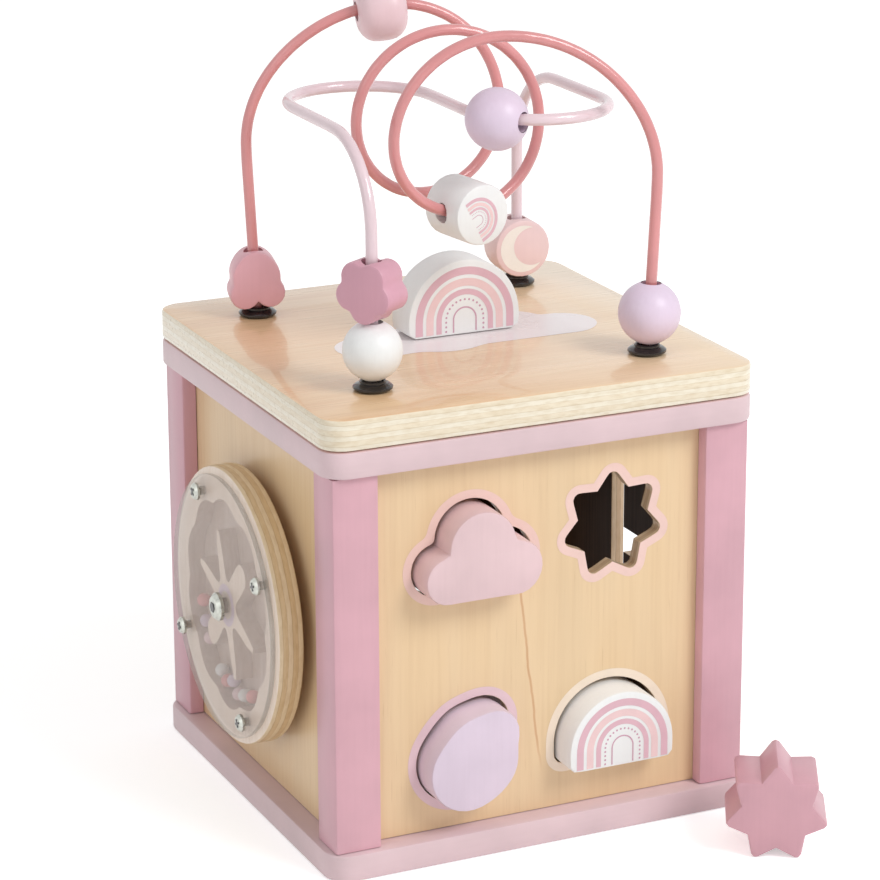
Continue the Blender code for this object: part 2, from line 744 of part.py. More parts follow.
def build_sorter(face, looks):
    panel = build_panel("sorter_panel", face, looks["panel"])
    middle = empty("sorter_middle", (0, PANEL_MIDDLE_Z, 0), parent=face)
    shapes = (
        ("cloud_block", cloud, CLOUD_AT, 56, (0, 0.003), looks["cloud"]),
        ("pebble_block", pebble, PEBBLE_AT, 40, (0, 0), looks["pebble"]),
        ("rainbow_block", arch(RAINBOW_W, RAINBOW_H), RAINBOW_AT, 56, (0, RAINBOW_H / 3), looks["white"]),
        ("star_block", star, STAR_AT, 84, (0, 0), looks["star"]),
    )
    for name, shape, at, count, inside, look in shapes:
        hole = trace(shape, HOLE_PLAY, count, inside, pi / 2)
        cut(panel, cutter(name + "_hole", sheet_body(hole, -2 * PANEL_T, PANEL_T), middle, (*at, 0)))
        body = sheet_body(trace(shape, 0, count, inside, pi / 2), -BLOCK_T / 2, BLOCK_T / 2, BLOCK_EDGE)
        if name == "star_block":
            stand = -min(v.co.y for v in body.verts)
            to_object(name, body, look, at=(*STAR_STANDS_AT, stand), turn=(pi / 2, 0, STAR_TURN))
            continue
        sunk = HOLE_PLAY - GAP
        to_object(name, body, look, middle, (at[0], at[1] - sunk, BLOCK_PROUD - BLOCK_T / 2))


# Rattle wheel

def build_wheel(face, looks):
    panel = build_panel("wheel_panel", face, looks["panel"])
    bore = ring(AXLE_D / 2 + GAP, SMALL_ROUND)
    axis = empty("wheel_axis", (0, WHEEL_AT_Z, 0), parent=face)
    cut(panel, cutter("axle_hole", sheet_body(bore, -2 * PANEL_T, PANEL_T), axis))

    wheel = to_object("wheel_body", sheet_body(ring(WHEEL_R, 60), WHEEL_OFF, WHEEL_FRONT, WHEEL_EDGE),
                      looks["plywood"], axis)
    floor = WHEEL_FRONT - POCKET_DEPTH
    routed = sheet_body(trace(pocket, 0, 84), floor, COVER_FRONT, hole=trace(wheel_figure, 0, 84))
    cut(wheel, cutter("wheel_pocket", routed, axis))
    cut(wheel, cutter("wheel_bore", sheet_body(bore, -WHEEL_T, COVER_FRONT + WHEEL_T), axis))

    cover = to_object("wheel_cover", sheet_body(ring(COVER_R, 60), WHEEL_FRONT + GAP, COVER_FRONT, 0.0004),
                      looks["clear"], axis)
    cut(cover, cutter("cover_bore", sheet_body(bore, 0, COVER_FRONT + WHEEL_T), axis))
    for number in range(COVER_SCREWS):
        angle = COVER_SCREW_AT + 2 * pi * number / COVER_SCREWS
        at = (COVER_SCREW_R * cos(angle), COVER_SCREW_R * sin(angle), COVER_FRONT + GAP)
        hole = sheet_body(ring(SCREW_D / 2 + GAP, 10), -COVER_SCREW_L - GAP, COVER_T)
        hole = cutter("screw_hole_%d" % (number + 1), hole, axis, at)
        cut(cover, hole)
        cut(wheel, hole)
        build_screw("cover_screw_%d" % (number + 1), axis, at, COVER_SCREW_L, looks["zinc"])
    for number, (angle, radius) in enumerate(RATTLE_BEADS, 1):
        at = (radius * cos(radians(angle)), radius * sin(radians(angle)), floor + GAP + RATTLE_D / 2)
        look = looks[("coral", "lilac", "blush", "white")[(number - 1) % 4]]
        to_object("rattle_bead_%d" % number, rattle_body(), look, axis, at)
    build_axle(axis, looks)


def rattle_body(rows=6):
    """A small ball without a bore."""
    radius = RATTLE_D / 2
    profile = [(0, -radius)]
    for row in range(1, rows):
        angle = pi * (row / rows - 0.5)
        profile.append((radius * cos(angle), radius * sin(angle)))
    profile.append((0, radius))
    return turned_body(profile, SMALL_ROUND)


def build_screw(name, parent, at, length, look):
    """A round-headed screw whose head starts at its origin and points along Z."""
    head = SCREW_HEAD_D / 2
    shaft = SCREW_D / 2
    profile = ((0, -length), (shaft * 0.6, -length), (shaft, -length + shaft), (shaft, 0), (head, 0),
               (head, SCREW_HEAD_H * 0.4), (head * 0.78, SCREW_HEAD_H * 0.85), (0, SCREW_HEAD_H))
    to_object(name, turned_body(profile, SMALL_ROUND), look, parent, at)


def build_axle(axis, looks):
    """A bolt through cover, wheel, washer and panel, with its nut inside the box."""
    inner = -PANEL_T - GAP
    head_z = COVER_FRONT + GAP
    end = inner - AXLE_NUT_T - 0.0020
    head = AXLE_HEAD_D / 2
    shaft = AXLE_D / 2
    profile = ((0, end), (shaft - 0.0005, end), (shaft, end + 0.0008), (shaft, head_z), (head, head_z),
               (head, head_z + AXLE_HEAD_H * 0.4), (head * 0.75, head_z + AXLE_HEAD_H * 0.85),
               (0, head_z + AXLE_HEAD_H))
    to_object("axle_bolt", turned_body(profile, 20), looks["zinc"], axis)
    hole = shaft + GAP
    profile = ((hole, GAP), (WASHER_D / 2, GAP), (WASHER_D / 2, WHEEL_OFF - GAP), (hole, WHEEL_OFF - GAP))
    to_object("axle_washer", turned_body(profile, 20), looks["washer"], axis)
    hexagon = sheet_body(ring(AXLE_NUT_W / sqrt(3), 6), inner - AXLE_NUT_T, inner)
    nut = to_object("axle_nut", hexagon, looks["zinc"], axis)
    cut(nut, cutter("nut_bore", sheet_body(ring(hole, SMALL_ROUND), inner - 2 * AXLE_NUT_T, 0), axis))


# Slot maze

def build_slots(face, looks):
    """Three branches off one upright slot. Each slider rests at its branch's outer end."""
    panel = build_panel("slot_panel", face, looks["panel"])
    trunk = ((TRUNK_Y, TRUNK_LOW), (TRUNK_Y, TRUNK_HIGH))
    branches = (
        ((TRUNK_Y, MIDDLE_BRANCH_Z), (-BRANCH_L, MIDDLE_BRANCH_Z)),
        ((TRUNK_Y, TRUNK_HIGH), (BRANCH_L, TRUNK_HIGH)),
        ((TRUNK_Y, TRUNK_LOW), (BRANCH_L, TRUNK_LOW)),
    )
    for number, (start, end) in enumerate((trunk,) + branches):
        tool = sheet_body(slot(start, end, SLOT_W), -2 * PANEL_T, PANEL_T)
        cut(panel, cutter("slot_%d" % number, tool, face))
    for number, ((_, end), look) in enumerate(zip(branches, ("lilac", "rose", "white")), 1):
        build_slider(number, empty("slider_axis_%d" % number, (*end, 0), parent=face), looks[look], looks)


def build_slider(number, axis, look, looks):
    head = KNOB_D / 2
    shank = SHANK_D / 2
    pilot = SCREW_D / 2 + GAP
    back = -PANEL_T - GAP
    profile = ((pilot, back), (shank, back), (shank, GAP), (head - 0.0015, GAP), (head, 0.0020),
               (head, KNOB_H - 0.0040), (head - 0.0015, KNOB_H - 0.0012), (head - 0.0050, KNOB_H),
               (0, KNOB_H), (0, KNOB_H / 2), (pilot, KNOB_H / 2))
    to_object("slider_knob_%d" % number, turned_body(profile, 24), look, axis)
    top = back - GAP
    low = top - BACK_DISC_T
    profile = ((pilot, low), (BACK_DISC_D / 2, low), (BACK_DISC_D / 2, top), (pilot, top))
    to_object("slider_back_%d" % number, turned_body(profile, 24), looks["beech"], axis)
    turned_round = empty("slider_screw_axis_%d" % number, (0, 0, low - GAP), (pi, 0, 0), axis)
    build_screw("slider_screw_%d" % number, turned_round, (0, 0, 0), SLIDER_SCREW_L, looks["zinc"])


def build_back(face, looks):
    panel = build_panel("back_panel", face, looks["panel"])
    opening = rounded_rectangle(HAND_W, HAND_H, HAND_R, 5, (0, HAND_AT_Z))
    cut(panel, cutter("hand_opening", sheet_body(opening, -2 * PANEL_T, PANEL_T), face))


def make_looks():
    return {
        "pale_pink": material("pale_pink_paint", (229, 201, 207), 0.45),
        "rose": material("rose_paint", (222, 171, 185), 0.45),
        "plywood": material("plywood", (230, 204, 176), 0.40),
        "panel": material("panel_wood", (239, 208, 165), 0.50),
        "beech": material("beech", (226, 190, 150), 0.55),
        "coral_wire": material("coral_wire_coat", (222, 145, 145), 0.30),
        "pale_wire": material("pale_wire_coat", (230, 205, 212), 0.30),
        "black": material("black_plastic", (20, 18, 20), 0.15),
        "heart": material("heart_paint", (221, 165, 172), 0.45),
        "flower": material("flower_paint", (210, 155, 172), 0.45),
        "white": material("white_paint", (240, 240, 238), 0.40),
        "lilac": material("lilac_paint", (222, 203, 222), 0.40),
        "blush": material("blush_paint", (226, 190, 197), 0.40),
        "moon": material("moon_paint", (235, 205, 205), 0.45),
        "cloud": material("cloud_paint", (231, 200, 207), 0.45),
        "pebble": material("pebble_paint", (224, 205, 224), 0.45),
        "star": material("star_paint", (219, 168, 180), 0.45),
        "coral": material("coral_paint", (232, 150, 150), 0.40),
        "clear": material("clear_acrylic", (235, 235, 235), 0.08, 0.0, 0.25),
        "zinc": material("zinc_steel", (205, 208, 206), 0.25, 1.0),
        "washer": material("washer_nylon", (225, 222, 215), 0.50),
    }


def main():
    for old in list(bpy.data.objects):
        bpy.data.objects.remove(old, do_unlink=True)
    looks = make_looks()
    face = faces()
    build_box(looks)
    build_maze(looks)
    build_sorter(face["front"], looks)
    build_wheel(face["left"], looks)
    build_slots(face["right"], looks)
    build_back(face["back"], looks)


main()
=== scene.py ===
"""Looks, prints, camera and light for the wooden activity cube."""
import json
from math import atan2, cos, hypot, pi, radians, sin, sqrt

import bmesh
import bpy
from mathutils import Matrix, Vector

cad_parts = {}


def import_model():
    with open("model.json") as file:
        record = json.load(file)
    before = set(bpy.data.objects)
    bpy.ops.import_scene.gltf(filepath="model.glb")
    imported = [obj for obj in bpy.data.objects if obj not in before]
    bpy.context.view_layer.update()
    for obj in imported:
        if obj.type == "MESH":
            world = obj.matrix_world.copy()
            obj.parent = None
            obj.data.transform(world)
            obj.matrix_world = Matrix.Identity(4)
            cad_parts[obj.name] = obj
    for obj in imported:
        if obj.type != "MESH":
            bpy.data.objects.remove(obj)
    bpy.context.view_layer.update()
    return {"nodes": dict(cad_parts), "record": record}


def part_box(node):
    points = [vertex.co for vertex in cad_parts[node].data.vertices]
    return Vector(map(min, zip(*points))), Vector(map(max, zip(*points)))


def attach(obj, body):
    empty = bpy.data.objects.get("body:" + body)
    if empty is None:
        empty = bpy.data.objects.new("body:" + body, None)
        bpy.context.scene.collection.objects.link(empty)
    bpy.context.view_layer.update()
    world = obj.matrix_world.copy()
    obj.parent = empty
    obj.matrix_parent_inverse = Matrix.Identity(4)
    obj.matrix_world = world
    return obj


# Camera
AZIMUTH = radians(-26.1647)
ELEVATION = radians(16.3652)
ROLL = radians(0.2223)
DISTANCE = 1.20830
TARGET = (0.031144, 0, 0.145162)
LENS = 138.522
SHIFT = (-0.1, -0.08)

# Sizes shared with the solids
TOP_Z = 0.1623
PANEL_FACE = 0.0720
PANEL_MIDDLE_Z = 0.07575
HOLE_PLAY = 0.0010
CLOUD_AT = (-0.0255, 0.0278)
PEBBLE_AT = (-0.0290, -0.0373)
RAINBOW_AT = (0.0272, -0.0497)
STAR_AT = (0.0282, 0.0342)
CLOUD_W = 0.0428
PEBBLE_W = 0.0330
RAINBOW_W = 0.0400
RAINBOW_H = 0.0270
RAINBOW_FOOT_R = 0.0030
STAR_TIPS = 7
STAR_R = 0.0177
STAR_VALLEY = 0.70
STAR_TIP_R = 0.0016
TOP_RAINBOW_W = 0.0430
WHEEL_AT_Z = 0.0744
WHEEL_FRONT = 0.0135
WHEEL_RIM_R = 0.0470      # walls within it are the pocket's, and those beyond it the rim's
COVER_FRONT = 0.0158
COVER_SCREWS = 4
COVER_SCREW_R = 0.0412
COVER_SCREW_AT = radians(28)
SCREW_HEAD_H = 0.0020
AXLE_HEAD_H = 0.0028
SEAT_GAP = 0.0003
PANEL_INNER = 0.0672      # nearer the middle than this, a panel shows its inner face
PANEL_PLIES_FROM = -0.0722
PANEL_PLY = 0.0017
PLATE_PLIES_FROM = 0.1514
PLATE_PLY = 0.0018
DISC_PLIES_FROM = 0.06
DISC_PLY = 0.0020
WHEEL_PLIES_FROM = -0.0857
WHEEL_PLY = 0.0018
POCKET_FLOOR_X = -0.0850

# Prints
PRINT_LIFT = 0.00006
RIM = 0.0030
RIM_POINTS = 168
ARCH_BANDS = ((0.88, 0.75, "ink_rose"), (0.69, 0.56, "ink_peach"), (0.51, 0.415, "ink_rose"),
              (0.215, 0.190, "ink_mauve"))
DRUM_PRINT_W = 0.0180
DRUM_PRINT_H = 0.0110
DRUM_PRINT_AT = (0.0004, -0.0044)
DRUM_PRINT_TURN = radians(-62)
DOT_ARCH_R = 0.335        # this and the next two as shares of half the print's width
DOT_R = 0.019
DOT_GAP = 0.075
ARCH_FOOT = 0.0010
DOTS_ABOVE_FOOT = 0.0006
MOON_R = 0.0088
MOON_BITE_R = 0.0071
MOON_BITE_AT = 0.0036
MOON_TURN = radians(12)
HUB_RING_R = 0.0076
HUB_RING_INNER_R = 0.0050
CROSS_RECESS_L = 0.0030
CROSS_RECESS_W = 0.0008
CROSS_TURN = 20           # degrees, and each next screw is turned further
CROSS_TURN_STEP = 31
HEX_RECESS_R = 0.0019
RECESS_DEPTH = 0.0003
CROSS_RECESS_LIFT = 0.00003
HEX_RECESS_LIFT = 0.00004
PLATE_CLOUD_LOBES = (((-0.031, -0.005), 0.0135), ((-0.006, -0.003), 0.0182), ((0.022, 0.003), 0.0185),
                     ((0.0425, -0.004), 0.0125))

# Colours and marks: tones are those of a light ply, a dark ply and the glue between them
ZINC = (196, 198, 190)
# Dark brown that paints the shade inside the box on the panels' inner faces
INSIDE_SHADE = (92, 62, 36)
# Painted sheen: the top plate's wood turns paler towards this colour between the next two places along x
PAINTED_SHEEN = (247, 226, 194)
PAINTED_SHEEN_FROM_X = -0.02
PAINTED_SHEEN_TO_X = 0.09
PLATE_TONES = ((241, 232, 212), (234, 221, 196), (214, 195, 164))
PANEL_TONES = ((226, 200, 168), (206, 176, 142), (176, 146, 116))
WHEEL_TONES = ((236, 216, 180), (222, 196, 152), (198, 166, 122))
MINERAL_TOP = (-0.0072, 0.0960)
MINERAL_FOOT = (0.0004, 0.0300)
MINERAL_W = 0.0006
MINERAL_WAVER = 0.0030
MINERAL_FADE = 0.006
FACING = 0.72             # a face's normal has more than this share along its axis

# Edges sharper than this stay sharp, and coarser pieces get the larger angle
SHARP = radians(35)
COARSE = radians(70)

# Levels of subdivision, and how far the surface moves out again
ROUNDED = {"arch_wire": (2, 0.00012), "wave_wire": (2, 0.00019), "white_bead": (1, 0.00012),
           "lilac_bead": (1, 0.00012), "wave_bead": (1, 0.00012), "barrel_bead": (1, 0.00012)}

# Light
WORLD_LIGHT = 0.56
FLOOR_GLOW = 0.46
KEY_AT = (0.75, -1.35, 1.45)
KEY_SIZE = 0.9
KEY_WATTS = 19.5
FILL_AT = (-1.5, -0.6, 0.9)
FILL_SIZE = 1.2
FILL_WATTS = 3
LAMPS_AIM = (0, 0, 0.12)


def linear(rgb):
    shares = [value / 255 for value in rgb]
    return [s / 12.92 if s <= 0.04045 else ((s + 0.055) / 1.055) ** 2.4 for s in shares] + [1]


def shade(rgb, factor):
    return [max(0, min(255, value * factor)) for value in rgb]


# Material nodes

def new_look(name, roughness=0.5, metallic=0.0, coat=0.0, coat_roughness=0.1):
    look = bpy.data.materials.new(name)
    look.use_nodes = True
    shader = look.node_tree.nodes["Principled BSDF"]
    shader.inputs["Roughness"].default_value = roughness
    shader.inputs["Metallic"].default_value = metallic
    shader.inputs["Coat Weight"].default_value = coat
    shader.inputs["Coat Roughness"].default_value = coat_roughness
    return look, look.node_tree, shader


def feed(shader, socket, output):
    shader.id_data.links.new(output, shader.inputs[socket])


def add(tree, kind, **inputs):
    node = tree.nodes.new(kind)
    for name, value in inputs.items():
        node.inputs[name.replace("_", " ")].default_value = value
    return node


def noise(tree, stretch, detail=4.0, distortion=0.0):
    """Noise in the object's own coordinates. stretch is in features per metre along x, y and z."""
    where = add(tree, "ShaderNodeTexCoord")
    mapping = add(tree, "ShaderNodeMapping", Scale=stretch)
    made = add(tree, "ShaderNodeTexNoise", Scale=1.0, Detail=detail, Distortion=distortion)
    tree.links.new(where.outputs["Object"], mapping.inputs["Vector"])
    tree.links.new(mapping.outputs["Vector"], made.inputs["Vector"])
    return made.outputs["Fac"]


def ramp(tree, factor, stops):
    node = add(tree, "ShaderNodeValToRGB")
    elements = node.color_ramp.elements
    while len(elements) < len(stops):
        elements.new(0.5)
    for element, (position, rgb) in zip(elements, stops):
        element.position = position
        element.color = linear(rgb)
    tree.links.new(factor, node.inputs["Fac"])
    return node.outputs["Color"]


def mix(tree, factor, first, second, blend="MIX"):
    node = add(tree, "ShaderNodeMix")
    node.data_type = "RGBA"
    node.blend_type = blend
    if isinstance(factor, float):
        node.inputs[0].default_value = factor
    else:
        tree.links.new(factor, node.inputs[0])
    tree.links.new(first, node.inputs[6])
    tree.links.new(second, node.inputs[7])
    return node.outputs[2]


def calc(tree, operation, first, second=None):
    node = add(tree, "ShaderNodeMath")
    node.operation = operation
    for index, value in enumerate((first, second)):
        if isinstance(value, (int, float)):
            node.inputs[index].default_value = value
        elif value is not None:
            tree.links.new(value, node.inputs[index])
    return node.outputs[0]


def between(tree, factor, low, high, first, last):
    """Goes from first to last while the factor goes from low to high."""
    node = add(tree, "ShaderNodeMapRange", From_Min=low, From_Max=high, To_Min=first, To_Max=last)
    tree.links.new(factor, node.inputs["Value"])
    return node.outputs["Result"]


def axis_of(tree, output, axis):
    """One coordinate of the object's own position or normal."""
    where = add(tree, "ShaderNodeTexCoord")
    split = add(tree, "ShaderNodeSeparateXYZ")
    tree.links.new(where.outputs[output], split.inputs["Vector"])
    return split.outputs[axis]


def bump(tree, shader, height, strength, distance):
    node = add(tree, "ShaderNodeBump", Strength=strength, Distance=distance)
    tree.links.new(height, node.inputs["Height"])
    feed(shader, "Normal", node.outputs["Normal"])


def along(axis, slow, fast):
    stretch = [fast] * 3
    stretch[axis] = slow
    return stretch


def paint(name, rgb, roughness=0.42, coat=0.15, grain_axis=2, vary=0.025, grain_depth=0.00005):
    """Satin paint that lets a little of the wood's grain through."""
    look, tree, shader = new_look(name, roughness, coat=coat, coat_roughness=0.25)
    cloudy = noise(tree, (38, 38, 38), 3.0)
    grain = noise(tree, along(grain_axis, 40, 900), 5.0)
    broad = ramp(tree, cloudy, ((0.35, shade(rgb, 1 - vary)), (0.65, shade(rgb, 1 + vary))))
    fine = ramp(tree, grain, ((0.3, (251, 250, 250)), (0.6, (255, 255, 255))))
    feed(shader, "Base Color", mix(tree, 0.5, broad, fine, "MULTIPLY"))
    feed(shader, "Roughness", between(tree, cloudy, 0.3, 0.7, roughness - 0.05, roughness + 0.07))
    orange_peel = calc(tree, "MULTIPLY", noise(tree, (520, 520, 520), 2.0), 0.6)
    bump(tree, shader, calc(tree, "ADD", grain, orange_peel), 0.22, grain_depth)
    return look


def wood_colour(tree, light, dark, grain_axis, figure=0.30):
    """Plain sawn grain: broad bands, fibres and a few fine dark pores."""
    bands = noise(tree, along(grain_axis, 5, 42), 5.0, 0.6)
    fibres = noise(tree, along(grain_axis, 22, 700), 6.0)
    pores = noise(tree, along(grain_axis, 60, 1500), 3.0)
    base = ramp(tree, bands, ((0.30, dark), (0.52, light), (0.72, shade(light, 0.975))))
    streak = ramp(tree, fibres, ((0.30, (228, 216, 202)), (0.58, (255, 255, 255))))
    pore = ramp(tree, pores, ((0.24, (214, 196, 176)), (0.36, (255, 255, 255))))
    colour = mix(tree, figure, base, streak, "MULTIPLY")
    return mix(tree, 0.35, colour, pore, "MULTIPLY"), fibres


def plies(tree, axis, start, ply, tones):
    """Colour of a sawn plywood edge: alternating plies, each a little uneven."""
    place = axis_of(tree, "Object", axis)
    uneven = calc(tree, "SUBTRACT", noise(tree, along(axis, 60, 90), 3.0), 0.5)
    waver = calc(tree, "MULTIPLY", uneven, ply * 0.35)
    level = calc(tree, "DIVIDE", calc(tree, "SUBTRACT", calc(tree, "ADD", place, waver), start), 2 * ply)
    share = calc(tree, "FRACT", level)
    light, dark, glue = tones
    colour = ramp(tree, share, ((0.00, glue), (0.05, light), (0.46, shade(light, 0.99)), (0.50, glue),
                                (0.55, dark), (0.95, shade(dark, 1.01))))
    fibres = noise(tree, along(axis, 900, 260), 4.0)
    fuzz = ramp(tree, fibres, ((0.3, (232, 222, 206)), (0.6, (255, 255, 255))))
    return mix(tree, 0.55, colour, fuzz, "MULTIPLY")


def mineral_line(tree):
    """1 on a thin wavering line down a panel, 0 beside it."""
    top_x, top_z = MINERAL_TOP
    foot_x, foot_z = MINERAL_FOOT
    x, z = axis_of(tree, "Object", 0), axis_of(tree, "Object", 2)
    lean = (foot_x - top_x) / (foot_z - top_z)
    middle = calc(tree, "ADD", calc(tree, "MULTIPLY", calc(tree, "SUBTRACT", z, top_z), lean), top_x)
    uneven = calc(tree, "SUBTRACT", noise(tree, (0, 0, 55), 3.0), 0.5)
    waver = calc(tree, "MULTIPLY", uneven, MINERAL_WAVER)
    away = calc(tree, "ABSOLUTE", calc(tree, "SUBTRACT", calc(tree, "ADD", x, waver), middle))
    line = between(tree, away, MINERAL_W / 3, MINERAL_W, 1.0, 0.0)
    above_foot = between(tree, z, foot_z - MINERAL_FADE, foot_z + MINERAL_FADE, 0.0, 1.0)
    below_top = between(tree, z, top_z - MINERAL_FADE, top_z + MINERAL_FADE, 1.0, 0.0)
    ends = calc(tree, "MULTIPLY", above_foot, below_top)
    return calc(tree, "MULTIPLY", line, ends)


def veneered(name, light, dark, face_axis, grain_axis, start, ply, tones, roughness=0.42, coat=0.2,
             coat_roughness=0.2, figure=0.30, inside=None, line=False, paler=None):
    """Plywood with lacquered faces. Every surface that looks across face_axis shows the plies.

    inside is a dark brown that paints the shade inside the box on the inner faces, paler a paler wood
    towards the right end that paints a sheen, and line draws a brown line down the faces.
    """
    look, tree, shader = new_look(name, roughness, coat=coat, coat_roughness=coat_roughness)
    face, fibres = wood_colour(tree, light, dark, grain_axis, figure)
    if line:
        brown = ramp(tree, fibres, ((0.3, (190, 132, 84)), (0.7, (204, 150, 104))))
        face = mix(tree, calc(tree, "MULTIPLY", mineral_line(tree), 0.65), face, brown)
    # Paler wood towards the right end: a painted sheen
    if paler:
        sheen_colour = ramp(tree, fibres, ((0.3, shade(paler, 0.97)), (0.7, paler)))
        x = axis_of(tree, "Object", 0)
        towards_right = between(tree, x, PAINTED_SHEEN_FROM_X, PAINTED_SHEEN_TO_X, 0.0, 0.75)
        face = mix(tree, towards_right, face, sheen_colour)
    # Inner faces are dark brown: painted shade inside the box
    if inside:
        inside_shade = ramp(tree, fibres, ((0.3, shade(inside, 0.9)), (0.7, shade(inside, 1.1))))
        depth = calc(tree, "ABSOLUTE", axis_of(tree, "Object", face_axis))
        is_inside = calc(tree, "LESS_THAN", depth, PANEL_INNER)
        face = mix(tree, is_inside, face, inside_shade)
        feed(shader, "Coat Weight", between(tree, is_inside, 0.0, 1.0, coat, 0.0))
        feed(shader, "Specular IOR Level", between(tree, is_inside, 0.0, 1.0, 0.5, 0.05))
    facing = calc(tree, "ABSOLUTE", axis_of(tree, "Normal", face_axis))
    is_face = calc(tree, "GREATER_THAN", facing, FACING)
    colour = mix(tree, is_face, plies(tree, face_axis, start, ply, tones), face)
    feed(shader, "Base Color", colour)
    feed(shader, "Roughness", between(tree, fibres, 0.3, 0.7, roughness + 0.06, roughness - 0.05))
    bump(tree, shader, fibres, 0.30, 0.00006)
    return look


def routed_wheel(name, light, pocket_shade_tone):
    """The wheel: pale wood in front, painted shade in the routed pocket's floor and walls, plies round
    the rim.
    """
    look, tree, shader = new_look(name, 0.45, coat=0.15, coat_roughness=0.3)
    face, fibres = wood_colour(tree, light, shade(light, 0.955), 2, 0.35)
    # The pocket's darker, greyer wood on its floor and walls is painted shade
    pocket_shade, _ = wood_colour(tree, pocket_shade_tone, shade(pocket_shade_tone, 0.94), 2, 0.6)
    facing = calc(tree, "ABSOLUTE", axis_of(tree, "Normal", 0))
    is_face = calc(tree, "GREATER_THAN", facing, FACING)
    deep = calc(tree, "GREATER_THAN", axis_of(tree, "Object", 0), POCKET_FLOOR_X)
    rim = plies(tree, 0, WHEEL_PLIES_FROM, WHEEL_PLY, WHEEL_TONES)
    y = axis_of(tree, "Object", 1)
    z = calc(tree, "SUBTRACT", axis_of(tree, "Object", 2), WHEEL_AT_Z)
    squares = calc(tree, "ADD", calc(tree, "MULTIPLY", y, y), calc(tree, "MULTIPLY", z, z))
    off_axis = calc(tree, "SQRT", squares)
    walls = mix(tree, calc(tree, "LESS_THAN", off_axis, WHEEL_RIM_R), rim, pocket_shade)
    colour = mix(tree, is_face, walls, mix(tree, deep, face, pocket_shade))
    feed(shader, "Base Color", colour)
    bump(tree, shader, fibres, 0.30, 0.00006)
    return look


def powder_coat(name, rgb):
    look, tree, shader = new_look(name, 0.36, coat=0.85, coat_roughness=0.08)
    blotch = noise(tree, (60, 60, 60), 3.0)
    grain = noise(tree, (1500, 1500, 1500), 2.0)
    feed(shader, "Base Color", ramp(tree, blotch, ((0.3, shade(rgb, 0.975)), (0.7, shade(rgb, 1.02)))))
    feed(shader, "Roughness", between(tree, blotch, 0.3, 0.7, 0.32, 0.42))
    bump(tree, shader, grain, 0.22, 0.00006)
    return look


def gloss_black(name):
    look, tree, shader = new_look(name, 0.16, coat=0.3, coat_roughness=0.06)
    blotch = noise(tree, (240, 240, 240), 3.0)
    feed(shader, "Base Color", ramp(tree, blotch, ((0.3, (16, 15, 17)), (0.7, (30, 27, 30)))))
    feed(shader, "Roughness", between(tree, blotch, 0.3, 0.7, 0.12, 0.22))
    return look


def zinc(name, head_x=None):
    """Zinc plate. What lies behind head_x, in a drilled hole, is pale and frosted like the hole."""
    look, tree, shader = new_look(name, 0.30, metallic=1.0)
    blotch = noise(tree, (700, 700, 700), 4.0)
    colour = ramp(tree, blotch, ((0.3, shade(ZINC, 0.90)), (0.7, shade(ZINC, 1.08))))
    if head_x is not None:
        hidden = calc(tree, "GREATER_THAN", axis_of(tree, "Object", 0), head_x)
        frost = ramp(tree, blotch, ((0.3, (222, 203, 190)), (0.7, (230, 211, 198))))
        colour = mix(tree, hidden, colour, frost)
        feed(shader, "Metallic", between(tree, hidden, 0.0, 1.0, 1.0, 0.0))
    feed(shader, "Base Color", colour)
    feed(shader, "Roughness", between(tree, blotch, 0.3, 0.7, 0.24, 0.42))
    bump(tree, shader, blotch, 0.25, 0.00003)
    return look


def clear_plastic(name):
    look, tree, shader = new_look(name, 0.08)
    shader.inputs["Specular IOR Level"].default_value = 0.9
    facing = calc(tree, "ABSOLUTE", axis_of(tree, "Normal", 0))
    sawn = calc(tree, "LESS_THAN", facing, 0.6)
    feed(shader, "Alpha", between(tree, sawn, 0.0, 1.0, 0.22, 0.42))
    haze = noise(tree, (90, 90, 90), 4.0)
    sheet = ramp(tree, haze, ((0.3, (226, 214, 206)), (0.7, (236, 226, 219))))
    edge = ramp(tree, haze, ((0.3, (132, 134, 126)), (0.7, (160, 162, 152))))
    feed(shader, "Base Color", mix(tree, sawn, sheet, edge))
    feed(shader, "Roughness", between(tree, haze, 0.3, 0.7, 0.05, 0.12))
    return look


def printed(name, rgb):
    """Screen printing ink: a flat tone with a slight mottle."""
    look, tree, shader = new_look(name, 0.4, coat=0.1, coat_roughness=0.3)
    mottle = noise(tree, (160, 160, 160), 4.0)
    speck = noise(tree, (1800, 1800, 1800), 2.0)
    tone = ramp(tree, mottle, ((0.3, shade(rgb, 0.985)), (0.7, shade(rgb, 1.012))))
    grit = ramp(tree, speck, ((0.25, (249, 248, 248)), (0.45, (255, 255, 255))))
    feed(shader, "Base Color", mix(tree, 0.5, tone, grit, "MULTIPLY"))
    feed(shader, "Roughness", between(tree, mottle, 0.3, 0.7, 0.35, 0.48))
    bump(tree, shader, speck, 0.15, 0.00003)
    return look


# Outlines: distances to shapes in a plane, negative inside

def to_circle(point, centre, radius):
    return (point - Vector(centre)).length - radius


def to_segment(point, start, end):
    start, end = Vector(start), Vector(end)
    line = end - start
    share = max(0, min(1, (point - start).dot(line) / line.length_squared))
    return (point - start - line * share).length


def to_cone(point, start, start_r, end, end_r):
    start, end = Vector(start), Vector(end)
    line = (end - start).normalized()
    length = (end - start).length
    slope = (start_r - end_r) / length
    x = (point - start).dot(line)
    y = abs((point - start).cross(line))
    share = max(0, min(length, x - y * slope / sqrt(1 - slope * slope)))
    return hypot(x - share, y) - (start_r + (end_r - start_r) * share / length)


def blend_shapes(first, second, width):
    share = max(0, min(1, 0.5 + 0.5 * (second - first) / width))
    return second + (first - second) * share - width * share * (1 - share)


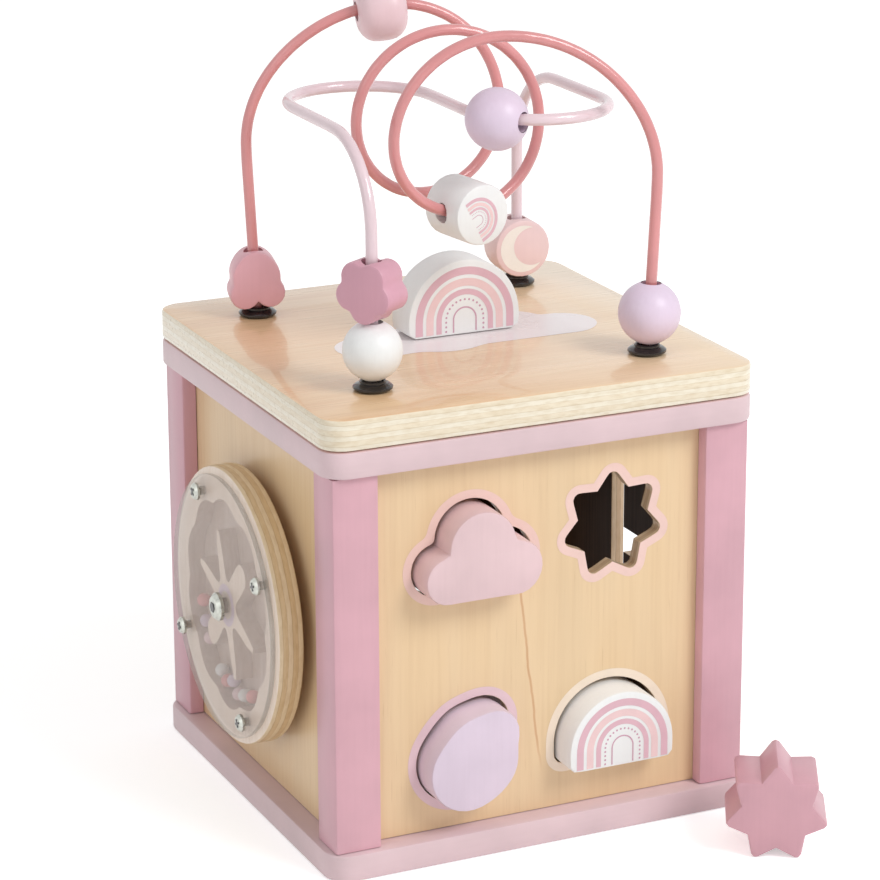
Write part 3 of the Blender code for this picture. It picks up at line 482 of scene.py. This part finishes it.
def cloud(point):
    half = CLOUD_W / 2
    left = to_circle(point, (-0.58 * half, 0), 0.38 * half)
    top = to_circle(point, (0, 0.47 * half), 0.57 * half)
    right = to_circle(point, (0.59 * half, 0.05 * half), 0.44 * half)
    base = to_segment(point, (-0.58 * half, -0.02 * half), (0.59 * half, -0.02 * half)) - 0.38 * half
    lobes = blend_shapes(blend_shapes(left, top, 0.1 * half), right, 0.1 * half)
    return blend_shapes(lobes, base, 0.05 * half)


def pebble(point):
    half = PEBBLE_W / 2
    stone = to_cone(point, (-0.09 * half, -0.27 * half), 0.87 * half,
                    (0.48 * half, 0.42 * half), 0.56 * half)
    belly = min(to_circle(point, (0.24 * half, -0.15 * half), 0.77 * half),
                to_circle(point, (0.14 * half, 0.11 * half), 0.79 * half))
    return blend_shapes(stone, belly, 0.18 * half)


def arch(point):
    foot = RAINBOW_FOOT_R
    radius = RAINBOW_W / 2 - foot
    spring = RAINBOW_H - RAINBOW_W / 2
    if point.y > spring:
        return to_circle(point, (0, spring), radius) - foot
    beside = abs(point.x) - radius
    below = foot - point.y
    return hypot(max(beside, 0), max(below, 0)) + min(max(beside, below), 0) - foot


def star(point):
    sector = pi / STAR_TIPS
    angle = abs((atan2(point.x, point.y) + sector) % (2 * sector) - sector)
    folded = Vector((point.length * sin(angle), point.length * cos(angle)))
    tip = Vector((0, STAR_R - STAR_TIP_R))
    valley_r = STAR_R * STAR_VALLEY - STAR_TIP_R
    edge = Vector((valley_r * sin(sector), valley_r * cos(sector))) - tip
    share = max(0, min(1, (folded - tip).dot(edge) / edge.length_squared))
    away = folded - tip - edge * share
    side = edge.x * (folded.y - tip.y) - edge.y * (folded.x - tip.x)
    return (away.length if side > 0 else -away.length) - STAR_TIP_R


def plate_cloud(point):
    """A long low cloud lying on the top plate."""
    shape = to_segment(point, (-0.030, -0.008), (0.042, -0.008)) - 0.0095
    for centre, radius in PLATE_CLOUD_LOBES:
        shape = blend_shapes(shape, to_circle(point, centre, radius), 0.002)
    return shape


def trace(distance, grow=0.0, count=120, inside=(0, 0), reach=0.06):
    """Points round inside where distance equals grow."""
    inside = Vector(inside)
    points = []
    for index in range(count):
        angle = 2 * pi * index / count
        out = Vector((cos(angle), sin(angle)))
        near, far = 0.0, reach
        for _ in range(36):
            middle = (near + far) / 2
            if distance(inside + out * middle) < grow:
                near = middle
            else:
                far = middle
        points.append(inside + out * near)
    return points


# Flat prints

class Place:
    """A flat spot: centre, the direction across, the direction up and the direction out."""

    def __init__(self, centre, across, up, turn=0.0):
        across, up = Vector(across), Vector(up)
        self.centre = Vector(centre)
        self.across = across * cos(turn) + up * sin(turn)
        self.up = up * cos(turn) - across * sin(turn)
        self.out = self.across.cross(self.up)

    def at(self, x, y, lift=PRINT_LIFT):
        return self.centre + self.across * x + self.up * y + self.out * lift


def link_piece(name, body, look, ride_on):
    mesh = bpy.data.meshes.new(name)
    body.to_mesh(mesh)
    body.free()
    made = bpy.data.objects.new(name, mesh)
    bpy.context.scene.collection.objects.link(made)
    mesh.materials.append(look)
    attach(made, ride_on)


def flat_row(body, place, points, lift=PRINT_LIFT):
    return [body.verts.new(place.at(p[0], p[1], lift)) for p in points]


def flat_patch(body, place, points):
    body.faces.new(flat_row(body, place, points))


def flat_band(body, place, outer, inner, closed=True):
    """The strip between two lines of as many points."""
    rows = [flat_row(body, place, line) for line in (outer, inner)]
    count = len(outer)
    for k in range(count if closed else count - 1):
        after = (k + 1) % count
        body.faces.new((rows[0][k], rows[0][after], rows[1][after], rows[1][k]))


def arch_line(radius, spring, low, steps=32):
    """From the right foot over the top to the left foot."""
    line = [(radius, low)]
    for step in range(steps + 1):
        angle = pi * step / steps
        line.append((radius * cos(angle), spring + radius * sin(angle)))
    line.append((-radius, low))
    return line


def dots_along(body, place, radius, spring, low, dot_r, gap):
    """Small round dots at even steps along an arch."""
    leg = spring - low
    length = 2 * leg + pi * radius
    count = int(length / gap)
    for index in range(count + 1):
        at = length * index / count
        if at < leg:
            centre = (radius, low + at)
        elif at < leg + pi * radius:
            angle = (at - leg) / radius
            centre = (radius * cos(angle), spring + radius * sin(angle))
        else:
            centre = (-radius, low + length - at)
        flat_patch(body, place, [(centre[0] + dot_r * cos(a), centre[1] + dot_r * sin(a))
                                 for a in (2 * pi * k / 10 for k in range(10))])


def rainbow_print(name, place, width, height, looks, ride_on, base=ARCH_FOOT):
    """Concentric arches with a dotted one. A band's radii are shares of half the width."""
    half = width / 2
    spring = height - half
    for number, (outer, inner, look) in enumerate(ARCH_BANDS, 1):
        body = bmesh.new()
        outside, inside = (arch_line(half * share, spring, base) for share in (outer, inner))
        flat_band(body, place, outside, inside, False)
        link_piece("%s_band_%d" % (name, number), body, looks[look], ride_on)
    body = bmesh.new()
    dots_along(body, place, half * DOT_ARCH_R, spring, base + DOTS_ABOVE_FOOT, half * DOT_R,
              half * DOT_GAP)
    link_piece(name + "_dots", body, looks["ink_mauve"], ride_on)


def end_faces(node):
    """A node's two largest flat sides, each as its centre and its outward direction."""
    groups = {}
    mesh = node.data
    for face in mesh.polygons:
        key = tuple(round(c, 2) for c in face.normal)
        area, total, normal = groups.get(key, (0, Vector(), face.normal.copy()))
        groups[key] = (area + face.area, total + face.center * face.area, normal)
    ranked = sorted(groups.values(), key=lambda g: -g[0])[:2]
    return [(total / area, normal) for area, total, normal in ranked]


def face_towards(node, direction):
    """Of a node's two largest flat sides, the one that looks most towards direction."""
    return max(end_faces(node), key=lambda item: item[1].dot(Vector(direction)))


def place_on(centre, out, turn=0.0):
    """A place on a steep flat side with its up as near to the world's as the side allows."""
    up = (Vector((0, 0, 1)) - out * out.z).normalized()
    return Place(centre, up.cross(out), up, turn)


def turned_patch(name, place, points, low, high, look, ride_on):
    """A low prism on a place, such as the black cross that paints the shade in a screw head's cross
    hole.
    """
    body = bmesh.new()
    floor, top = flat_row(body, place, points, low), flat_row(body, place, points, high)
    body.faces.new(floor[::-1])
    body.faces.new(top)
    for k in range(len(points)):
        after = (k + 1) % len(points)
        body.faces.new((floor[k], floor[after], top[after], top[k]))
    link_piece(name, body, look, ride_on)


def cross_outline(length, width):
    """A cross with four equal arms."""
    a, b = length / 2, width / 2
    return [(a, b), (b, b), (b, a), (-b, a), (-b, b), (-a, b),
            (-a, -b), (-b, -b), (-b, -a), (b, -a), (b, -b), (a, -b)]


# Looks of the solids

def make_looks():
    # The panels' inner faces get painted shade inside the box
    panel = {"light": (233, 204, 163), "dark": (231, 200, 157), "grain_axis": 2,
             "start": PANEL_PLIES_FROM, "ply": PANEL_PLY, "tones": PANEL_TONES, "figure": 0.17,
             "inside": INSIDE_SHADE}
    return {
        "pale_pink": paint("pale_pink", (219, 193, 197), grain_axis=0),
        "rose": paint("rose", (213, 165, 176)),
        # The top plate's paler right end is a painted sheen
        "plywood": veneered("plywood", (236, 200, 158), (224, 181, 138), face_axis=2, grain_axis=0,
                            start=PLATE_PLIES_FROM, ply=PLATE_PLY, tones=PLATE_TONES, roughness=0.30,
                            coat=0.55, coat_roughness=0.05, paler=PAINTED_SHEEN),
        "panel_y": veneered("panel_y", face_axis=1, line=True, **panel),
        "panel_x": veneered("panel_x", face_axis=0, **panel),
        "beech": veneered("beech", (226, 190, 150), (214, 176, 136), face_axis=0, grain_axis=2,
                          start=DISC_PLIES_FROM, ply=DISC_PLY, tones=PANEL_TONES),
        "coral_wire": powder_coat("coral_wire", (216, 140, 140)),
        "pale_wire": powder_coat("pale_wire", (230, 206, 212)),
        "black": gloss_black("black"),
        "heart": paint("heart", (227, 172, 182)),
        "flower": paint("flower", (211, 157, 173)),
        "white": paint("white", (240, 241, 240), vary=0.012),
        "lilac": paint("lilac", (223, 205, 224)),
        "blush": paint("blush", (238, 207, 212)),
        "moon": paint("moon", (235, 206, 206)),
        "cloud": paint("cloud", (226, 196, 199)),
        "pebble": paint("pebble", (222, 205, 221)),
        "star": paint("star", (212, 162, 173)),
        "coral": paint("coral", (232, 150, 150)),
        "clear": clear_plastic("clear"),
        "zinc": zinc("zinc"),
        "wheel_zinc": zinc("wheel_zinc", head_x=-PANEL_FACE - COVER_FRONT - 0.0001),
        "washer": paint("washer", (225, 222, 215), roughness=0.55, coat=0.0),
        # The wheel's second colour is painted shade in the routed pocket
        "wheel": routed_wheel("wheel", (245, 227, 211), (216, 196, 184)),
        # Black that paints the shade in the cross holes of the screws and the hex hole of the bolt
        "recess_shade": gloss_black("recess_shade"),
        "ink_rose": printed("ink_rose", (223, 181, 192)),
        "ink_peach": printed("ink_peach", (238, 205, 205)),
        "ink_mauve": printed("ink_mauve", (205, 160, 178)),
        "ink_cream": printed("ink_cream", (247, 240, 232)),
        "rim_pink": printed("rim_pink", (238, 204, 194)),
        "rim_lilac": printed("rim_lilac", (228, 198, 204)),
        "rim_cream": printed("rim_cream", (243, 226, 206)),
        "plate_print": paint("plate_print", (238, 230, 231), roughness=0.28, coat=0.30, grain_axis=0,
                             vary=0.008, grain_depth=0.00001),
        "ring_print": printed("ring_print", (226, 204, 222)),
    }


def look_of(node, slot):
    """The name of the look of a node: panels and the wheel have their own."""
    if node in ("sorter_panel", "back_panel"):
        return "panel_y"
    if node in ("wheel_panel", "slot_panel"):
        return "panel_x"
    if node == "wheel_body":
        return "wheel"
    if node == "axle_bolt" or node.startswith("cover_screw"):
        return "wheel_zinc"
    return slot


def dress(frame, looks):
    slots = {part["node"]: part["material_slot"] for part in frame["record"]["subparts"]}
    for name, node in frame["nodes"].items():
        look = looks[look_of(name, slots[name])]
        if not node.material_slots:
            node.data.materials.append(look)
        for slot in node.material_slots:
            slot.material = look
        soften(node, COARSE if name in ROUNDED or name.startswith("rattle") else SHARP)
        if name in ROUNDED:
            round_off(node, *ROUNDED[name])


def round_off(node, levels, lift):
    """Subdivides a round piece and gives back the thickness that this takes off."""
    finer = node.modifiers.new("finer", "SUBSURF")
    finer.levels = finer.render_levels = levels
    swell = node.modifiers.new("swell", "DISPLACE")
    swell.strength = lift
    swell.mid_level = 0


def soften(node, sharp):
    """Shades a node smoothly between its sharp edges."""
    mesh = node.data
    for attribute in ("custom_normal", "sharp_edge", "sharp_face"):
        if attribute in mesh.attributes:
            mesh.attributes.remove(mesh.attributes[attribute])
    mesh.shade_smooth()
    weld = node.modifiers.new("weld", "WELD")
    weld.merge_threshold = 1e-6
    split = node.modifiers.new("split", "EDGE_SPLIT")
    split.split_angle = sharp
    split.use_edge_sharp = False


# Prints on the solids

def add_hole_rims(looks):
    """The painted line round each hole of the sorter."""
    for name, shape, at, inside, look, slot in (
            ("cloud", cloud, CLOUD_AT, (0, 0.003), "rim_pink", "cloud"),
            ("pebble", pebble, PEBBLE_AT, (0, 0), "rim_lilac", "pebble"),
            ("rainbow", arch, RAINBOW_AT, (0, RAINBOW_H / 3), "rim_cream", "white"),
            ("star", star, STAR_AT, (0, 0), "rim_pink", "star")):
        place = Place((at[0], -PANEL_FACE, PANEL_MIDDLE_Z + at[1]), (1, 0, 0), (0, 0, 1))
        body = bmesh.new()
        outer = trace(shape, HOLE_PLAY + RIM, RIM_POINTS, inside)
        flat_band(body, place, outer, trace(shape, HOLE_PLAY, RIM_POINTS, inside))
        link_piece(name + "_hole_rim", body, looks[look], "box")


def add_rainbows(nodes, looks):
    """Arches on both ends of the block on top, of the posted block and of the drum."""
    for number, direction in enumerate(((0, -1, 0), (0, 1, 0)), 1):
        centre, out = face_towards(nodes["top_rainbow"], direction)
        place = place_on((centre[0], centre[1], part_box("top_rainbow")[0][2]), out)
        rainbow_print("top_rainbow_print_%d" % number, place, TOP_RAINBOW_W, RAINBOW_H, looks, "box")
        centre, out = face_towards(nodes["rainbow_block"], direction)
        place = place_on((centre[0], centre[1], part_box("rainbow_block")[0][2]), out)
        rainbow_print("rainbow_block_print_%d" % number, place, RAINBOW_W, RAINBOW_H, looks,
                      "rainbow_block_free")
        centre, out = face_towards(nodes["rainbow_bead"], direction)
        spot = place_on(centre, out, DRUM_PRINT_TURN)
        spot.centre = spot.at(*DRUM_PRINT_AT, 0)
        rainbow_print("rainbow_bead_print_%d" % number, spot, DRUM_PRINT_W, DRUM_PRINT_H, looks,
                      "rainbow_on_wire", 0.0)


def add_moons(nodes, looks):
    """A plain crescent on each end of the moon bead."""
    radius, bite, shift = MOON_R, MOON_BITE_R, MOON_BITE_AT
    for number, direction in enumerate(((0, -1, 0), (0, 1, 0)), 1):
        centre, out = face_towards(nodes["moon_bead"], direction)
        place = place_on(centre, out, MOON_TURN)
        meet = (shift ** 2 + radius ** 2 - bite ** 2) / (2 * shift)
        outer_end = atan2(sqrt(radius ** 2 - meet ** 2), meet)
        inner_end = atan2(sqrt(radius ** 2 - meet ** 2), meet - shift)
        steps = 40
        outer, inner = [], []
        for step in range(steps + 1):
            share = step / steps
            a = outer_end + (2 * pi - 2 * outer_end) * share
            b = inner_end + (2 * pi - 2 * inner_end) * share
            outer.append((radius * cos(a), radius * sin(a)))
            inner.append((shift + bite * cos(b), bite * sin(b)))
        body = bmesh.new()
        flat_band(body, place, outer, inner, False)
        link_piece("moon_print_%d" % number, body, looks["ink_cream"], "moon_on_wire")


def add_plate_cloud(looks):
    """The cloud that the rainbow block stands on."""
    place = Place((0, 0, TOP_Z), (1, 0, 0), (0, 1, 0))
    body = bmesh.new()
    outer = trace(plate_cloud, 0.0, 180)
    centre = [(p.x * 0.5, p.y * 0.5) for p in outer]
    flat_band(body, place, outer, centre)
    flat_patch(body, place, centre)
    link_piece("plate_cloud", body, looks["plate_print"], "box")


def circle(radius, count=40):
    return [(radius * cos(a), radius * sin(a)) for a in (2 * pi * k / count for k in range(count))]


def add_wheel_details(looks):
    """The printed ring under the cover, and black prisms that paint the shade in the cross holes of the
    screws and the hex hole of the bolt.
    """
    def face(height, across=0.0, up=0.0, turn=0.0):
        return Place((-PANEL_FACE - height, -across, WHEEL_AT_Z + up), (0, -1, 0), (0, 0, 1), turn)

    body = bmesh.new()
    flat_band(body, face(WHEEL_FRONT), circle(HUB_RING_R), circle(HUB_RING_INNER_R))
    link_piece("hub_ring_print", body, looks["ring_print"], "wheel")
    head = COVER_FRONT + SEAT_GAP
    for number in range(COVER_SCREWS):
        angle = COVER_SCREW_AT + 2 * pi * number / COVER_SCREWS
        place = face(head + SCREW_HEAD_H, COVER_SCREW_R * cos(angle), COVER_SCREW_R * sin(angle),
                     radians(CROSS_TURN + CROSS_TURN_STEP * number))
        turned_patch("cover_screw_recess_%d" % (number + 1), place,
                     cross_outline(CROSS_RECESS_L, CROSS_RECESS_W), -RECESS_DEPTH, CROSS_RECESS_LIFT,
                     looks["recess_shade"], "wheel")
    place = face(head + AXLE_HEAD_H)
    turned_patch("axle_bolt_recess", place, circle(HEX_RECESS_R, 6), -RECESS_DEPTH, HEX_RECESS_LIFT,
                 looks["recess_shade"], "box")


# Camera, light and surroundings

def add_camera():
    toward = Vector((sin(AZIMUTH) * cos(ELEVATION), -cos(AZIMUTH) * cos(ELEVATION), sin(ELEVATION)))
    across = (-toward).cross(Vector((0, 0, 1))).normalized()
    up = across.cross(-toward)
    right = across * cos(ROLL) + up * sin(ROLL)
    top = up * cos(ROLL) - across * sin(ROLL)
    data = bpy.data.cameras.new("camera")
    data.sensor_width = 36
    data.lens = LENS
    data.shift_x, data.shift_y = SHIFT
    data.clip_end = 20
    camera = bpy.data.objects.new("camera", data)
    bpy.context.scene.collection.objects.link(camera)
    turn = Matrix((right, top, toward)).transposed().to_4x4()
    camera.matrix_world = Matrix.Translation(Vector(TARGET) + toward * DISTANCE) @ turn
    bpy.context.scene.camera = camera


def add_area(name, at, size, watts):
    data = bpy.data.lights.new(name, "AREA")
    data.shape = "DISK"
    data.size = size
    data.energy = watts
    lamp = bpy.data.objects.new(name, data)
    bpy.context.scene.collection.objects.link(lamp)
    lamp.location = at
    aim = (Vector(LAMPS_AIM) - Vector(at)).to_track_quat("-Z", "Y")
    lamp.rotation_euler = aim.to_euler()


def seen_directly(tree):
    """1 for what is seen straight, mirrored or through clear plastic, 0 for light on things."""
    path = add(tree, "ShaderNodeLightPath")
    direct = calc(tree, "MAXIMUM", path.outputs["Is Camera Ray"], path.outputs["Is Glossy Ray"])
    return calc(tree, "MAXIMUM", direct, path.outputs["Is Transmission Ray"])


def add_world(strength):
    world = bpy.data.worlds.new("world")
    world.use_nodes = True
    bpy.context.scene.world = world
    tree = world.node_tree
    background = tree.nodes["Background"]
    background.inputs["Color"].default_value = (1, 1, 1, 1)
    level = add(tree, "ShaderNodeMapRange", From_Min=0.0, From_Max=1.0, To_Min=strength, To_Max=1.0)
    tree.links.new(seen_directly(tree), level.inputs["Value"])
    tree.links.new(level.outputs["Result"], background.inputs["Strength"])


def add_floor():
    bpy.ops.mesh.primitive_plane_add(size=12, location=(0, 0, -0.0001))
    floor = bpy.context.object
    floor.name = "floor"
    look, tree, shader = new_look("floor", 0.9)
    dust = noise(tree, (3, 3, 3), 4.0)
    feed(shader, "Base Color", ramp(tree, dust, ((0.3, (247, 247, 247)), (0.7, (250, 250, 250)))))
    shader.inputs["Specular IOR Level"].default_value = 0.1
    shader.inputs["Emission Color"].default_value = (1, 1, 1, 1)
    glow = calc(tree, "MULTIPLY", seen_directly(tree), FLOOR_GLOW)
    feed(shader, "Emission Strength", glow)
    floor.data.materials.append(look)


def main():
    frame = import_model()
    looks = make_looks()
    dress(frame, looks)
    add_hole_rims(looks)
    add_rainbows(frame["nodes"], looks)
    add_moons(frame["nodes"], looks)
    add_plate_cloud(looks)
    add_wheel_details(looks)
    add_camera()
    add_world(WORLD_LIGHT)
    add_area("key", KEY_AT, KEY_SIZE, KEY_WATTS)
    add_area("fill", FILL_AT, FILL_SIZE, FILL_WATTS)
    add_floor()
    bpy.context.scene.view_settings.view_transform = "Standard"


main()
